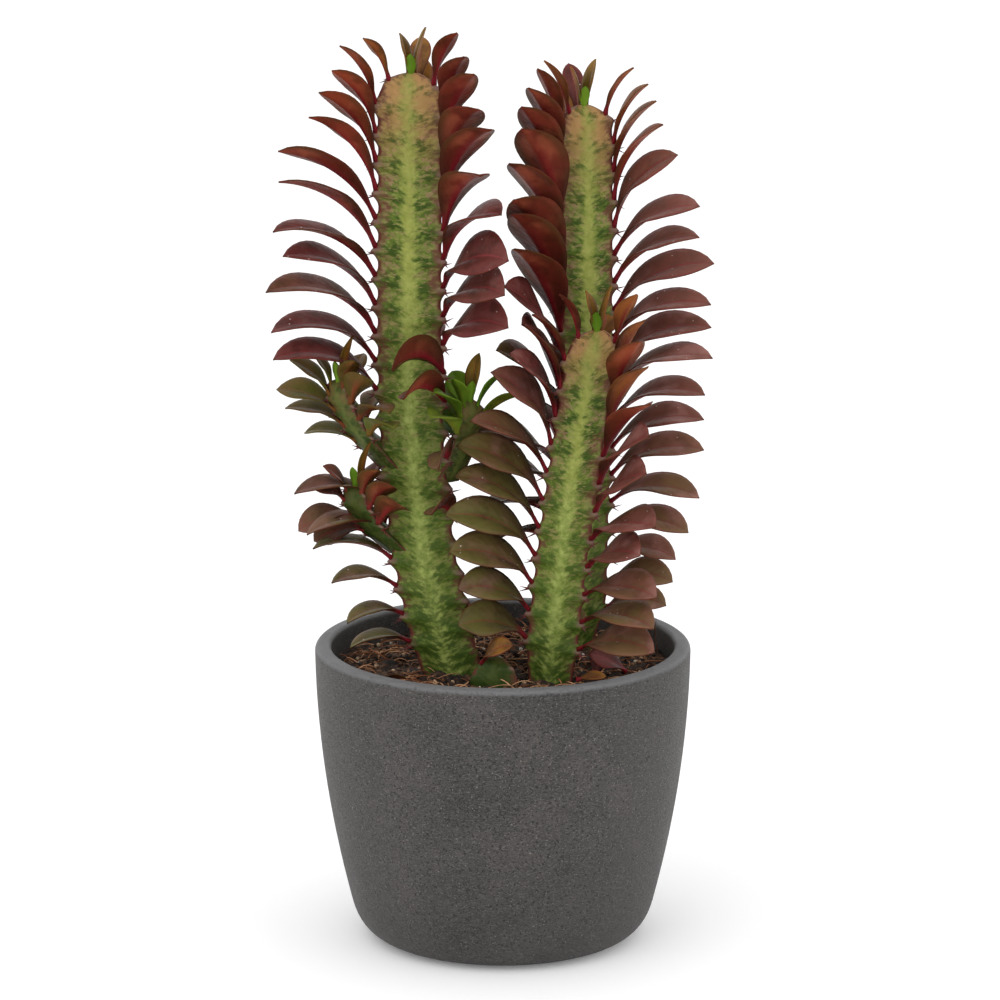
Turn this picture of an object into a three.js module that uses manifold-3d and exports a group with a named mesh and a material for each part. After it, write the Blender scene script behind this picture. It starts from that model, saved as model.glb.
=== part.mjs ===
// Potted three-ribbed euphorbia: a round fibre-cement pot, its soil, three leafy stems and a stub
// at their feet. Millimetres, +Z up. The origin is the centre of the pot's flat foot, and the front
// of the plant faces -Y.

import * as THREE from "three";
import { mergeVertices } from "three/addons/utils/BufferGeometryUtils.js";
import Module from "manifold-3d";

const wasm = await Module();
wasm.setup();

// Pot
const POT_HEIGHT = 144;
const POT_RIM_RADIUS = 90;
const POT_FOOT_RADIUS = 52.5;
const POT_HEEL_RADIUS = 73;
const POT_HEEL_HEIGHT = 17.5;
const POT_WALL_CURVE = 1.92;
const POT_WALL = 7.7;
const POT_FLOOR = 9;
const RIM_ROUND = 3;
const LIP_ROUND = 2;
const INNER_HEEL_RADIUS = 58;
const INNER_HEEL_HEIGHT = 15;
const INNER_FLOOR_RADIUS = 48;
const POT_SIDES = 32;
const OUTER_RINGS = [48, 80, 112];
const INNER_RINGS = [90, 40];

// Soil
const SOIL_LEVEL = 134;
const SOIL_EDGE_DROP = 4;
const SOIL_LUMP = 1.1;
const SOIL_SIDES = 16;
const SOIL_RINGS = [0.82, 0.62, 0.4, 0.2, 0];
const GAP = 0.4;
const HOLE_CLEARANCE = 0.6;

// Ribbed stems
const RIBS = 3;
const STEM_SIDES = 9;
const RINGS_PER_TOOTH = 3;
const RIB_STEP = 360 / RIBS;
const SHOULDER_SHARE = 0.56;
const TOP_RING_DROP = 1;
const SOIL_RING_RISE = 4;

// Spines stand in pairs under the leaves. The solids carry only every tenth pair, to stay light.
const SPINE_LENGTH = 5;
const SPINE_RADIUS = 0.55;
const SPINE_ROOT = 1.2;
const SPINE_SPREAD = 24;
const SPINE_DIP = -6;
const SPINE_DROP = 1;
const SPINE_SET_BACK = 1.6;
const SPINY_TOOTH = 10;

// A leaf blade is folded along its midrib and arches away from the stem
const LEAF_STATIONS = [0, 0.36, 0.7, 1];
const LEAF_THICKNESS = 0.8;
const LEAF_ROOT = 2.6;
const LEAF_RISE = 1.6;
const LEAF_TIP_HALF_WIDTH = 0.7;
const PETIOLE_HALF_WIDTH = 1.6;
const BLADE_FULLNESS = 0.8;
const FOLD_AT_TIP = 16;
const FOLD_OPENS_BY = 0.6;

// How the leaves of a rib change with the tooth they stand on, counted down from the tip of the stem.
// Each list holds [tooth, value] keys. A positive twist raises the right-hand edge of a leaf seen
// from its tip.
const GROWN = {
  lift: [[0, 62], [3, 56], [6, 31], [10, 17], [19, 0]],
  arch: [[0, 40], [4, 58], [10, 66], [19, 62]],
  length: [[0, 26], [1, 35], [2, 40], [3, 46], [5, 53], [11, 55], [15, 42], [19, 28]],
  halfWidth: [[0, 4.5], [2, 6.8], [5, 8.6], [10, 9.4], [19, 8]],
  swell: [[0, 1.75], [4, 1.6], [9, 1.3]],
  fold: [[0, 50], [6, 48], [11, 26]],
  twist: [[0, 0]],
};
const UPRIGHT = {
  ...GROWN,
  lift: [[0, 66], [3, 62], [7, 54], [11, 40], [15, 22], [19, 8]],
  arch: [[0, 30], [9, 42], [19, 60]],
  length: [[0, 26], [2, 38], [4, 45], [14, 50], [18, 42]],
  halfWidth: [[0, 6], [2, 10], [5, 12.5], [10, 11.5], [19, 9]],
  fold: [[0, 26], [11, 20]],
};
const SHOOT = {
  lift: [[0, 55], [2, 24], [5, 5]],
  arch: [[0, 35], [5, 60]],
  length: [[0, 18], [2, 31], [5, 27]],
  halfWidth: [[0, 5], [2, 8.6], [5, 7.6]],
  swell: [[0, 1.25]],
  fold: [[0, 30]],
  twist: [[0, -20]],
};
const HANGING = {
  ...SHOOT,
  lift: [[0, 55], [1, 20], [2, -12]],
  length: [[0, 18], [2, 26]],
  twist: [[0, -20], [2, -55]],
};
const WANDER = { heading: 12, lift: 6, length: 0.08, twist: 16, bow: 0.09 };

// Each stem: x and y hold four control values of its axis, from its buried end to its tip.
// Its three ribs say which teeth are bare and how far their leaves turn from the rib.
const TALL = {
  name: "stem_tall", sprouts: 3, spiny: true,
  seed: 11, facing: -10, ribRadius: 21.5, valley: 4, pitch: 13.5,
  foot: 80, tip: 418, x: [0, -58, -38, -42.5], y: [-14, -8, -5, -2],
  tipLength: 14, baseShare: 1, baseLength: 14, lowestTooth: 146,
  ribs: [
    {
      leaves: {
        ...GROWN,
        arch: [[0, 40], [4, 58], [8, 66], [10, 80], [14, 62]],
        length: [[0, 26], [2, 40], [4, 54], [6, 60], [11, 63], [15, 46], [19, 28]],
        halfWidth: [[0, 5], [2, 7.8], [5, 9.8], [10, 11], [15, 9], [19, 8]],
        twist: [[0, 10], [2, 26], [6, 24], [7, 5], [9, -32], [12, -32], [15, -10]],
      },
      bare: [12, 13, 14],
    },
    {
      leaves: {
        ...GROWN,
        length: [[0, 30], [2, 46], [4, 57], [6, 62], [8, 62], [10, 55], [13, 46], [15, 30]],
        halfWidth: [[0, 5.6], [2, 9], [5, 11.5], [7, 13], [9, 13], [13, 9], [19, 8]],
        fold: [[0, 34]],
        twist: [[0, -5], [2, -18], [5, -10], [7, 52]],
      },
      turn: -12,
      turns: { 10: -68, 11: -64, 13: -44, 15: -72 },
      length: 0.88,
      bare: [12, 14, 16, 17, 18, 19],
    },
    { leaves: GROWN, length: 0.85, bare: [3, 5, 7, 9, 11, 13, 15, 17, 18, 19] },
  ],
};
const BACK = {
  name: "stem_back", sprouts: 3, spiny: true,
  seed: 23, facing: 12, ribRadius: 17.8, valley: 3.6, pitch: 13.4,
  foot: 80, tip: 399, x: [35, 37, 40, 38], y: [30, 28, 27, 26],
  tipLength: 13, baseShare: 0.6, baseLength: 28, lowestTooth: 148,
  ribs: [
    {
      leaves: {
        ...UPRIGHT,
        length: [[0, 26], [2, 40], [4, 50], [9, 55], [11, 48], [14, 49], [18, 42]],
        halfWidth: [[0, 6], [2, 10], [5, 13.5], [12, 13.5], [15, 11], [19, 9]],
        twist: [[2, 0], [4, 25], [7, 20], [9, -35], [13, -35], [15, 0]],
      },
      turn: 4,
      length: 1.1,
      bare: [17, 18],
    },
    {
      leaves: {
        ...GROWN,
        halfWidth: [[0, 4.8], [2, 7.4], [5, 9.8], [10, 10.4], [18, 9]],
        twist: [[0, 0], [3, 20], [5, 30]],
      },
    },
    { leaves: GROWN, length: 0.85, bare: [3, 5, 7, 9, 11, 13, 15, 16, 17, 18] },
  ],
};
const FRONT = {
  name: "stem_front", sprouts: 3, spiny: true,
  seed: 37, facing: -12, ribRadius: 17.6, valley: 3.6, pitch: 13.2,
  foot: 85, tip: 299, x: [22, 22, 33.4, 44.8], y: [-31, -28, -23, -18],
  tipLength: 12, baseShare: 0.88, baseLength: 20, lowestTooth: 144,
  ribs: [
    {
      leaves: {
        ...GROWN,
        length: [[0, 22], [2, 38], [4, 49], [9, 49], [11, 34]],
        halfWidth: [[0, 4.5], [2, 8], [4, 11]],
        swell: [[0, 1.3]],
        fold: [[0, 40], [3, 24]],
        twist: [[0, 0], [3, -40]],
      },
    },
    {
      leaves: { ...UPRIGHT, lift: [[0, 66], [3, 52], [6, 28], [11, 4]], twist: [[3, 0], [6, 35]] },
      turn: -8,
    },
    { leaves: UPRIGHT, bare: [1, 3, 5, 7, 9], length: 0.5 },
  ],
};
const STUB = {
  name: "stem_stub", sprouts: 0, seed: 5, facing: -10, ribRadius: 14, valley: 0.8, pitch: 9,
  foot: 120, tip: 146, x: [-3, -3, -3, -3], y: [-37, -37, -37, -37],
  tipLength: 13, baseShare: 1, baseLength: 8, lowestTooth: 136,
  ribs: [
    {
      leaves: {
        ...SHOOT,
        lift: [[0, 30]],
        arch: [[0, 60]],
        length: [[0, 22]],
        halfWidth: [[0, 6]],
        twist: [[0, 45]],
      },
      turn: 130,
    },
    { leaves: SHOOT, bare: [0] },
    { leaves: SHOOT, bare: [0] },
  ],
};

// Side shoots grow out of the tall stem and are one piece with it
const SIDE_SHOOTS = [
  {
    name: "upper_left", sprouts: 2, seed: 41, facing: -35, ribRadius: 9.5, valley: 2, pitch: 7.8,
    foot: 226, tip: 275, x: [-46, -62, -74, -77], y: [-8, -12, -15, -16],
    tipLength: 11, baseShare: 0.6, baseLength: 0, lowestTooth: 242,
    ribs: [{ leaves: SHOOT }, { leaves: SHOOT }, { leaves: SHOOT, bare: [1, 3] }],
  },
  {
    name: "lower_left", sprouts: 2, seed: 53, facing: -30, ribRadius: 10, valley: 2, pitch: 7.8,
    foot: 190, tip: 225, x: [-46, -60, -68, -69], y: [-9, -14, -18, -20],
    tipLength: 10, baseShare: 0.6, baseLength: 0, lowestTooth: 198,
    ribs: [{ leaves: HANGING }, { leaves: SHOOT }, { leaves: SHOOT, bare: [1, 3] }],
  },
  {
    name: "right", sprouts: 2, seed: 67, facing: 25, ribRadius: 9, valley: 1.8, pitch: 7.8,
    foot: 226, tip: 266, x: [-28, -20, -16, -16], y: [-12, -16, -18, -18],
    tipLength: 10, baseShare: 0.6, baseLength: 0, lowestTooth: 244,
    ribs: [{ leaves: SHOOT }, { leaves: SHOOT, bare: [2] }, { leaves: SHOOT }],
  },
];

// The young leaves round a growing tip: a small one in front and two larger ones beside it
const SPROUTS = [
  { turn: 0, length: 13, halfWidth: 2.6 },
  { turn: 105, length: 25, halfWidth: 5.4 },
  { turn: -100, length: 22, halfWidth: 5 },
];
const SPROUT_LIFT = 80;
const SPROUT_ARCH = 16;
const SPROUT_SWELL = 1.4;
const SPROUT_FOLD = 40;
const SPROUT_SPREAD = 2.2;

// Edges shorter than this are drawn together where leaves meet their stem
const SMALLEST_EDGE = 0.3;

const radians = THREE.MathUtils.degToRad;

// The same numbers from -1 to 1 on every run
function seededDraw(seed) {
  const multiplier = 16807;
  const modulus = 2147483647;
  let state = seed * multiplier;
  return () => {
    state = (state * multiplier) % modulus;
    return (2 * state) / modulus - 1;
  };
}

// The value at a place along [place, value] keys, straight between them
function keyed(keys, place) {
  const last = keys[keys.length - 1];
  if (place >= last[0]) return last[1];
  if (place <= keys[0][0]) return keys[0][1];
  const next = keys.findIndex((key) => key[0] > place);
  const [from, low] = keys[next - 1];
  const [to, high] = keys[next];
  return low + ((high - low) * (place - from)) / (to - from);
}

function solid(geometry) {
  const bare = geometry.clone();
  bare.deleteAttribute("normal");
  bare.deleteAttribute("uv");
  const merged = mergeVertices(bare, 1e-4);
  return new wasm.Manifold(
    new wasm.Mesh({
      numProp: 3,
      vertProperties: new Float32Array(merged.attributes.position.array),
      triVerts: new Uint32Array(merged.index.array),
    }),
  );
}

function geometryOf(manifold) {
  const mesh = manifold.getMesh();
  const geometry = new THREE.BufferGeometry();
  geometry.setAttribute("position", new THREE.BufferAttribute(mesh.vertProperties, 3));
  geometry.setIndex(new THREE.BufferAttribute(mesh.triVerts, 1));
  geometry.computeVertexNormals();
  return geometry;
}

// Moves each vertex of a geometry to the place that a function gives it
function reshape(geometry, place) {
  const position = geometry.attributes.position;
  for (let i = 0; i < position.count; i++) {
    const moved = place(position.getX(i), position.getY(i), position.getZ(i));
    position.setXYZ(i, moved.x, moved.y, moved.z);
  }
  return geometry;
}

function lathe(profile, sides) {
  return new THREE.LatheGeometry(profile, sides).rotateX(Math.PI / 2);
}

// Pot

function potWallRadius(z) {
  const up = (z - POT_HEEL_HEIGHT) / (POT_HEIGHT - POT_HEEL_HEIGHT);
  return POT_RIM_RADIUS - (POT_RIM_RADIUS - POT_HEEL_RADIUS) * (1 - up) ** POT_WALL_CURVE;
}

function roundCorner(centreX, centreY, radius, fromDegrees, toDegrees, steps) {
  const arc = new THREE.Path().absarc(
    centreX, centreY, radius, radians(fromDegrees), radians(toDegrees), toDegrees < fromDegrees,
  );
  return arc.getPoints(steps);
}

const heelSlope = ((POT_RIM_RADIUS - POT_HEEL_RADIUS) * POT_WALL_CURVE) / (POT_HEIGHT - POT_HEEL_HEIGHT);
const heel = new THREE.QuadraticBezierCurve(
  new THREE.Vector2(POT_FOOT_RADIUS, 0),
  new THREE.Vector2(POT_HEEL_RADIUS - heelSlope * POT_HEEL_HEIGHT, 0),
  new THREE.Vector2(POT_HEEL_RADIUS, POT_HEEL_HEIGHT),
);
const innerHeights = [POT_HEIGHT - LIP_ROUND, ...INNER_RINGS];
const innerWall = innerHeights.map((z) => new THREE.Vector2(potWallRadius(z) - POT_WALL, z));
const innerFloor = [
  new THREE.Vector2(INNER_HEEL_RADIUS, INNER_HEEL_HEIGHT),
  new THREE.Vector2(INNER_FLOOR_RADIUS, POT_FLOOR),
];

function potGeometry() {
  const lipRadius = innerWall[0].x;
  const profile = [
    new THREE.Vector2(0, 0),
    ...heel.getPoints(3),
    ...OUTER_RINGS.map((z) => new THREE.Vector2(potWallRadius(z), z)),
    ...roundCorner(POT_RIM_RADIUS - RIM_ROUND, POT_HEIGHT - RIM_ROUND, RIM_ROUND, 0, 90, 2),
    ...roundCorner(lipRadius + LIP_ROUND, POT_HEIGHT - LIP_ROUND, LIP_ROUND, 90, 180, 2),
    ...innerWall.slice(1),
    ...innerFloor,
    new THREE.Vector2(0, POT_FLOOR),
  ];
  return lathe(profile, POT_SIDES);
}

// The inside radius of the pot at a height, straight between the points of its profile
function insideRadius(z) {
  const below = innerWall.findIndex((point) => point.y < z);
  const [high, low] = [innerWall[below - 1], innerWall[below]];
  return low.x + ((high.x - low.x) * (z - low.y)) / (high.y - low.y);
}

// Soil

function soilTop(x, y) {
  const out = Math.hypot(x, y) / POT_RIM_RADIUS;
  const lumps = Math.sin(x * 0.19 + 0.7) * Math.cos(y * 0.23 - 0.4) + 0.6 * Math.sin(x * 0.41 - y * 0.37);
  return SOIL_LEVEL - SOIL_EDGE_DROP * out * out + SOIL_LUMP * lumps;
}

function soilGeometry() {
  const rimLevel = SOIL_LEVEL - SOIL_EDGE_DROP;
  const rimRadius = insideRadius(rimLevel) - GAP;
  const profile = [
    new THREE.Vector2(0, POT_FLOOR + GAP),
    new THREE.Vector2(innerFloor[1].x - GAP, POT_FLOOR + GAP),
    new THREE.Vector2(innerFloor[0].x - GAP, innerFloor[0].y + GAP),
    ...innerWall.slice(1).reverse().map((point) => new THREE.Vector2(point.x - GAP, point.y)),
    new THREE.Vector2(rimRadius, rimLevel),
    ...SOIL_RINGS.map((share) => new THREE.Vector2(rimRadius * share, SOIL_LEVEL)),
  ];
  return reshape(lathe(profile, SOIL_SIDES), (x, y, z) =>
    new THREE.Vector3(x, y, z < SOIL_LEVEL ? z : soilTop(x, y)),
  );
}

// Stems

function axisAt(stem, z) {
  const t = (z - stem.foot) / (stem.tip - stem.foot);
  const share = [(1 - t) ** 3, 3 * t * (1 - t) ** 2, 3 * t * t * (1 - t), t ** 3];
  const blend = (values) => values.reduce((sum, value, i) => sum + value * share[i], 0);
  return new THREE.Vector3(blend(stem.x), blend(stem.y), z);
}

// The share of its full radius that a stem has at a height: narrow at the soil, domed at the tip
function fullness(stem, z) {
  const down = (stem.tip + TOP_RING_DROP - z) / stem.tipLength;
  const dome = down < 1 ? Math.sqrt(1 - (1 - Math.max(down, 0)) ** 2) : 1;
  const rise = THREE.MathUtils.smoothstep(z, SOIL_LEVEL, SOIL_LEVEL + stem.baseLength);
  const base = stem.baseLength ? stem.baseShare + (1 - stem.baseShare) * rise : 1;
  return dome * base;
}

function toothHeight(stem, rib, tooth) {
  return stem.tip - TOP_RING_DROP - stem.pitch * (tooth + rib / RIBS);
}

function ribHeading(stem, rib) {
  return stem.facing - RIB_STEP / 2 + RIB_STEP * rib;
}

function outward(heading, lift = 0) {
  const [h, l] = [radians(heading), radians(lift)];
  return new THREE.Vector3(Math.sin(h) * Math.cos(l), -Math.cos(h) * Math.cos(l), Math.sin(l));
}

// Heights of a stem's rings, from its foot up. Every third ring carries the teeth of one rib.
function ringHeights(stem) {
  const heights = [stem.tip];
  const step = stem.pitch / RINGS_PER_TOOTH;
  for (let z = stem.tip - TOP_RING_DROP; z > stem.lowestTooth; z -= step) heights.push(z);
  if (stem.foot < SOIL_LEVEL) heights.push(SOIL_LEVEL + SOIL_RING_RISE);
  heights.push(stem.foot);
  return heights.reverse();
}

function stemGeometry(stem, clearance = 0) {
  const heights = ringHeights(stem);
  heights[0] -= clearance;
  const rows = heights.length - 1;
  const cylinder = new THREE.CylinderGeometry(1, 1, 1, STEM_SIDES, rows).rotateX(Math.PI / 2);
  return reshape(cylinder, (x, y, z) => {
    const row = Math.round((z + 0.5) * rows);
    const height = heights[row];
    const axis = axisAt(stem, height);
    if (Math.hypot(x, y) < 0.5) return axis;
    const turned = Math.round((Math.atan2(x, -y) * STEM_SIDES) / (2 * Math.PI));
    const side = (turned + STEM_SIDES) % STEM_SIDES;
    const rib = side / (STEM_SIDES / RIBS);
    const ringFromTip = rows - 1 - row;
    const toothed = height > stem.lowestTooth && ringFromTip >= 0;
    const isTooth = toothed && ringFromTip % RINGS_PER_TOOTH === rib;
    const crest = isTooth ? stem.ribRadius : stem.ribRadius - stem.valley;
    const reach = Number.isInteger(rib) ? crest : stem.ribRadius * SHOULDER_SHARE;
    const heading = stem.facing - RIB_STEP / 2 + (side * 360) / STEM_SIDES;
    return axis.addScaledVector(outward(heading), reach * fullness(stem, height) + clearance);
  });
}

// Leaves

// A leaf's midrib is an arc that starts steep and levels out, with a slight bow to one side
function leafGeometry(leaf) {
  const startLift = radians(leaf.lift + leaf.arch / 2);
  const arch = radians(leaf.arch);
  const ahead = outward(leaf.heading);
  const side = outward(leaf.heading + 90);
  const up = new THREE.Vector3(0, 0, 1);
  const rows = LEAF_STATIONS.length - 1;
  return reshape(new THREE.BoxGeometry(2, 1, 1, 2, 1, rows), (across, through, along) => {
    const s = LEAF_STATIONS[Math.round((along + 0.5) * rows)];
    const lift = startLift - arch * s;
    const middle = leaf.root.clone()
      .addScaledVector(ahead, (leaf.length * (Math.sin(startLift) - Math.sin(lift))) / arch)
      .addScaledVector(up, (leaf.length * (Math.cos(lift) - Math.cos(startLift))) / arch)
      .addScaledVector(side, leaf.bow * leaf.length * s * s);
    const blade = Math.sin(Math.PI * s ** leaf.swell) ** BLADE_FULLNESS;
    const foot = s < 1 ? PETIOLE_HALF_WIDTH : LEAF_TIP_HALF_WIDTH;
    const half = Math.max(foot, leaf.halfWidth * blade);
    const closed = Math.max(0, 1 - s / FOLD_OPENS_BY);
    const fold = radians(FOLD_AT_TIP + (leaf.fold - FOLD_AT_TIP) * closed) * Math.sign(across);
    const roll = radians(leaf.twist * s * (2 - s));
    const normal = ahead.clone().multiplyScalar(-Math.sin(lift)).addScaledVector(up, Math.cos(lift));
    const spread = side.clone().multiplyScalar(Math.cos(roll)).addScaledVector(normal, Math.sin(roll));
    const rise = side.clone().multiplyScalar(-Math.sin(roll)).addScaledVector(normal, Math.cos(roll));
    const thick = LEAF_THICKNESS * through;
    return middle
      .addScaledVector(spread, across * half * Math.cos(fold) - thick * Math.sin(fold))
      .addScaledVector(rise, across * half * Math.sin(fold) + thick * Math.cos(fold));
  });
}

function leavesOf(stem) {
  const draw = seededDraw(stem.seed);
  const leaves = [];
  for (let rib = 0; rib < RIBS; rib++) {
    for (let tooth = 0; toothHeight(stem, rib, tooth) > stem.lowestTooth; tooth++) {
      const [turn, tilt, stretch, twist, bow] = [draw(), draw(), draw(), draw(), draw()];
      const { leaves: kind, bare = [], turn: ribTurn = 0, turns = {}, length = 1 } = stem.ribs[rib];
      if (bare.includes(tooth)) continue;
      const place = tooth + rib / RIBS;
      const z = toothHeight(stem, rib, tooth);
      const heading = ribHeading(stem, rib);
      const rootHeight = Math.min(z + LEAF_RISE, stem.tip - LEAF_ROOT);
      const reach = stem.ribRadius * fullness(stem, rootHeight) - LEAF_ROOT;
      leaves.push({
        root: axisAt(stem, rootHeight).addScaledVector(outward(heading), reach),
        heading: heading + ribTurn + WANDER.heading * turn + (turns[tooth] ?? 0),
        lift: keyed(kind.lift, place) + WANDER.lift * tilt,
        arch: keyed(kind.arch, place),
        length: keyed(kind.length, place) * (1 + WANDER.length * stretch) * length,
        halfWidth: keyed(kind.halfWidth, place),
        swell: keyed(kind.swell, place),
        fold: keyed(kind.fold, place),
        twist: keyed(kind.twist, place) + WANDER.twist * twist,
        bow: WANDER.bow * bow,
      });
    }
  }
  return leaves;
}

function sproutsOf(stem) {
  const top = axisAt(stem, stem.tip - LEAF_ROOT);
  return SPROUTS.slice(0, stem.sprouts).map((sprout) => {
    const heading = stem.facing + sprout.turn;
    return {
      root: top.clone().addScaledVector(outward(heading), SPROUT_SPREAD),
      heading,
      lift: SPROUT_LIFT,
      arch: SPROUT_ARCH,
      length: sprout.length,
      halfWidth: sprout.halfWidth,
      swell: SPROUT_SWELL,
      fold: SPROUT_FOLD,
      twist: 0,
      bow: 0,
    };
  });
}

// Spines

function spineGeometry(root, heading, lift) {
  const along = outward(heading, lift);
  const turn = new THREE.Quaternion().setFromUnitVectors(new THREE.Vector3(0, 1, 0), along);
  const middle = root.clone().addScaledVector(along, SPINE_LENGTH / 2 - SPINE_ROOT);
  return new THREE.ConeGeometry(SPINE_RADIUS, SPINE_LENGTH, 3)
    .applyQuaternion(turn)
    .translate(middle.x, middle.y, middle.z);
}

function spinesOf(stem) {
  const spines = [];
  for (let rib = 0; rib < RIBS; rib++) {
    for (let tooth = 0; toothHeight(stem, rib, tooth) > stem.lowestTooth; tooth += SPINY_TOOTH) {
      const z = toothHeight(stem, rib, tooth) - SPINE_DROP;
      const heading = ribHeading(stem, rib);
      const reach = stem.ribRadius * fullness(stem, z) - SPINE_SET_BACK;
      const root = axisAt(stem, z).addScaledVector(outward(heading), reach);
      for (const side of [-1, 1]) {
        spines.push(spineGeometry(root, heading + side * SPINE_SPREAD, SPINE_DIP));
      }
    }
  }
  return spines;
}

function leafyStem(stem) {
  const parts = [stemGeometry(stem), ...leavesOf(stem).map(leafGeometry)];
  return parts.map(solid).reduce((whole, piece) => whole.add(piece));
}

function spinyStem(stem) {
  const grown = [...sproutsOf(stem).map(leafGeometry), ...(stem.spiny ? spinesOf(stem) : [])];
  return grown.map(solid).reduce((whole, piece) => whole.add(piece), leafyStem(stem));
}

// The plain hole that a stem stands in is its own buried shape, a little larger all round
function holeFor(stem) {
  return solid(stemGeometry(stem, HOLE_CLEARANCE));
}

const FINISH = {
  pot: new THREE.MeshStandardMaterial({ color: 0x55534f, roughness: 0.85, metalness: 0 }),
  soil: new THREE.MeshStandardMaterial({ color: 0x3b2a20, roughness: 1, metalness: 0 }),
  tall: new THREE.MeshStandardMaterial({ color: 0x7c8a48, roughness: 0.5, metalness: 0 }),
  back: new THREE.MeshStandardMaterial({ color: 0x6f4a42, roughness: 0.5, metalness: 0 }),
  front: new THREE.MeshStandardMaterial({ color: 0x6b7a3e, roughness: 0.5, metalness: 0 }),
  stub: new THREE.MeshStandardMaterial({ color: 0x2f5232, roughness: 0.5, metalness: 0 }),
};

function addMesh(group, name, geometry, material) {
  const mesh = new THREE.Mesh(geometry, material);
  mesh.name = name;
  group.add(mesh);
}

function addStem(group, name, manifold, material) {
  addMesh(group, name, geometryOf(manifold.simplify(SMALLEST_EDGE)), material);
}

const plant = new THREE.Group();
const tall = SIDE_SHOOTS.map(spinyStem).reduce((whole, shoot) => whole.add(shoot), spinyStem(TALL));
const holes = [TALL, BACK, FRONT, STUB].map(holeFor);
const soil = holes.reduce((left, hole) => left.subtract(hole), solid(soilGeometry()));

addMesh(plant, "pot", geometryOf(solid(potGeometry())), FINISH.pot);
addMesh(plant, "soil", geometryOf(soil), FINISH.soil);
addStem(plant, TALL.name, tall, FINISH.tall);
addStem(plant, BACK.name, spinyStem(BACK), FINISH.back);
addStem(plant, FRONT.name, spinyStem(FRONT), FINISH.front);
addStem(plant, STUB.name, leafyStem(STUB), FINISH.stub);

export default plant;
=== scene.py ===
import math

import bpy
from mathutils import Euler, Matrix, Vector, noise


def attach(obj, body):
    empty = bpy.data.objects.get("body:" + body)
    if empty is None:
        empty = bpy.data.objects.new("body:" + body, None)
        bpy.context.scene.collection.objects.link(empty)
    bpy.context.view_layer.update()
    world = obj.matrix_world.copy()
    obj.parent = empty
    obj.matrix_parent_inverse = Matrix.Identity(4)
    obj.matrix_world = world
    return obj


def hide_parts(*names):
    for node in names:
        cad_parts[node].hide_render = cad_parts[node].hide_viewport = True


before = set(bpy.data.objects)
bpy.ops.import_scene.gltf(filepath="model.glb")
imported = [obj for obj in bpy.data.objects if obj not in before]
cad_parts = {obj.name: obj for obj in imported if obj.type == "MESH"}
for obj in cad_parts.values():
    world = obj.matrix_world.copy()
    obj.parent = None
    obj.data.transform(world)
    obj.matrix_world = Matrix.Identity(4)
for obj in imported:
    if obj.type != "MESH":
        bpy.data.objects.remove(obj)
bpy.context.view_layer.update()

# The camera stands a little above the plant and looks down at it, as the photograph does.
# It comes before the pieces, and its distance and lens were worked out from the pot's rim.
CAMERA_DISTANCE = 2.2
CAMERA_HEIGHT = 0.722
CAMERA_PITCH = 0.227
LENS = 170.7
SHIFT = -0.0028

camera = bpy.data.objects.new("camera", bpy.data.cameras.new("camera"))
camera.location = (0, -CAMERA_DISTANCE, CAMERA_HEIGHT)
camera.rotation_euler = (math.pi / 2 - CAMERA_PITCH, 0, 0)
camera.data.lens = LENS
camera.data.shift_x = SHIFT
bpy.context.collection.objects.link(camera)
bpy.context.scene.camera = camera


# The pot is cast from dark grey fibre cement, with fine pits, pale flecks of sand and a smooth
# rounded rim. It is round and in one piece, so its outline is spun here.
MM = 0.001
POT_HEIGHT = 144
RIM_RADIUS = 90
FOOT_RADIUS = 52.5
HEEL_RADIUS = 73
HEEL_HEIGHT = 17.5
WALL_CURVE = 1.92
WALL = 7.7
RIM_ROUND = 3
RIM_STEPS = 6
LIP_ROUND = 2
LIP_STEPS = 5
FLOOR = 9
INNER_HEEL = (58, 15)
INNER_FLOOR_RADIUS = 48
HEEL_STEPS = 12
OUTER_ROWS = range(26, POT_HEIGHT - RIM_ROUND, 8)
INNER_ROWS = (40, 65, 90, 110, 130)
POT_STEPS = 144
SPUN_MERGE = 0.01


def wall_radius(z):
    """The pot's outer radius at a height"""
    up = (z - HEEL_HEIGHT) / (POT_HEIGHT - HEEL_HEIGHT)
    return RIM_RADIUS - (RIM_RADIUS - HEEL_RADIUS) * (1 - up) ** WALL_CURVE


def rounded(centre_r, centre_z, radius, start, end, steps):
    """Points of an arc in the pot's outline, from one angle to another in degrees"""
    angles = [math.radians(start + (end - start) * i / steps) for i in range(steps + 1)]
    return [(centre_r + radius * math.cos(a), centre_z + radius * math.sin(a)) for a in angles]


def deselect():
    """Leave nothing selected before a new piece is added"""
    bpy.ops.object.select_all(action="DESELECT")


def edit_all():
    """Open the active piece for editing, with all of it selected"""
    bpy.ops.object.mode_set(mode="EDIT")
    bpy.ops.mesh.select_all(action="SELECT")


def end_edit():
    """Close the piece after editing, and shade it smoothly"""
    bpy.ops.object.mode_set(mode="OBJECT")
    bpy.ops.object.shade_smooth()


def spun(name, outline, steps):
    """A closed piece spun round the upright axis from (radius, height) points in millimetres"""
    deselect()
    bpy.ops.mesh.primitive_plane_add(size=MM)
    piece = bpy.context.object
    piece.name = name
    edit_all()
    bpy.ops.mesh.merge(type="CENTER")
    place = Vector((0, 0, 0))
    for radius, height in outline:
        point = Vector((radius * MM, 0, height * MM))
        if point != place:
            bpy.ops.mesh.extrude_region_move(TRANSFORM_OT_translate={"value": point - place})
        place = point
    bpy.ops.mesh.select_all(action="SELECT")
    bpy.ops.mesh.spin(steps=steps, angle=2 * math.pi, center=(0, 0, 0), axis=(0, 0, 1))
    bpy.ops.mesh.select_all(action="SELECT")
    bpy.ops.mesh.remove_doubles(threshold=SPUN_MERGE * MM)
    bpy.ops.mesh.normals_make_consistent(inside=False)
    end_edit()
    return piece


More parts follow.
